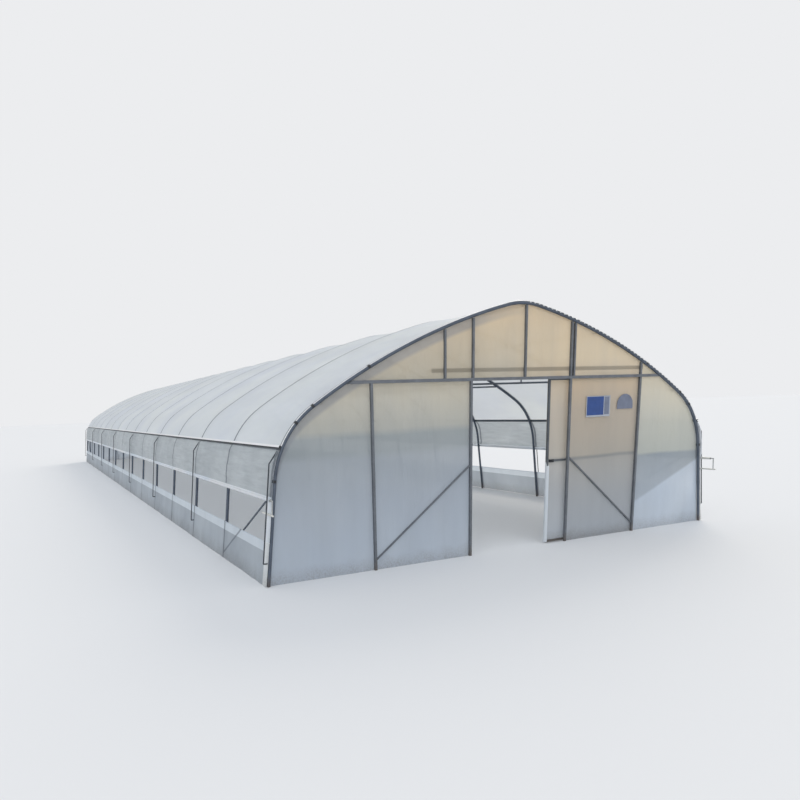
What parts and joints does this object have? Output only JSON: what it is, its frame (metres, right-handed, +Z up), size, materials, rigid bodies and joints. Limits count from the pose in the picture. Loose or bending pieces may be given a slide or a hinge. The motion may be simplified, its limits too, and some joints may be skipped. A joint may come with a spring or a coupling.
{
  "type": "polytunnel greenhouse",
  "caption": "Hooped steel tube greenhouse under translucent film, with vented roll-up sides, framed gables and a sliding door leaf in the front gable that stands open",
  "frame": {"origin": "on the ground, in the middle of the house's length and width", "axes": "+X to the right seen from in front of the front gable, +Y along the house away from the front gable, +Z up"},
  "size_m": [8.0114, 28.566, 3.5089],
  "materials": {
    "tube_steel": "galvanised tube, dull, dusty",
    "gable_steel": "galvanised tube, dull, dusty",
    "door_steel": "galvanised tube, dull, dusty",
    "film": "translucent greenhouse film, soft sheen, wrinkled",
    "door_film": "translucent greenhouse film, soft sheen, wrinkled"
  },
  "bodies": {
    "house": {"left_arch_legs": "tube_steel", "right_arch_legs": "tube_steel", "left_arch_bows": "tube_steel", "right_arch_bows": "tube_steel", "collar_ties": "tube_steel", "truss_struts": "tube_steel", "ridge_purlin": "tube_steel", "left_purlin": "tube_steel", "right_purlin": "tube_steel", "left_eave_rail": "tube_steel", "right_eave_rail": "tube_steel", "left_roll_tube": "tube_steel", "right_roll_tube": "tube_steel", "left_roll_crank": "tube_steel", "right_roll_crank": "tube_steel", "left_curtain_guards": "tube_steel", "right_curtain_guards": "tube_steel", "end_bay_braces": "tube_steel", "front_tie_beam": "gable_steel", "front_gable_posts": "gable_steel", "front_gable_uprights": "gable_steel", "front_gable_braces": "gable_steel", "front_door_rail": "gable_steel", "rear_tie_beam": "gable_steel", "rear_gable_posts": "gable_steel", "rear_gable_uprights": "gable_steel", "rear_gable_braces": "gable_steel", "rear_door_rail": "gable_steel", "left_roof_film": "film", "right_roof_film": "film", "left_side_curtain": "film", "right_side_curtain": "film", "left_skirt_film": "film", "right_skirt_film": "film", "side_end_strips": "film", "front_gable_film": "film", "rear_gable_film": "film", "rear_door_frame": "door_steel", "rear_door_film": "door_film", "rear_door_hangers": "door_steel"},
    "front_door": {"front_door_frame": "door_steel", "front_door_film": "door_film", "front_door_hangers": "door_steel", "front_door_handle": "door_steel"}
  },
  "joints": [
    {"name": "front_door_slide", "type": "slide", "parent": "house", "child": "front_door", "axis": [1, 0, 0], "range_m": [-1.42, 0.1]}
  ]
}
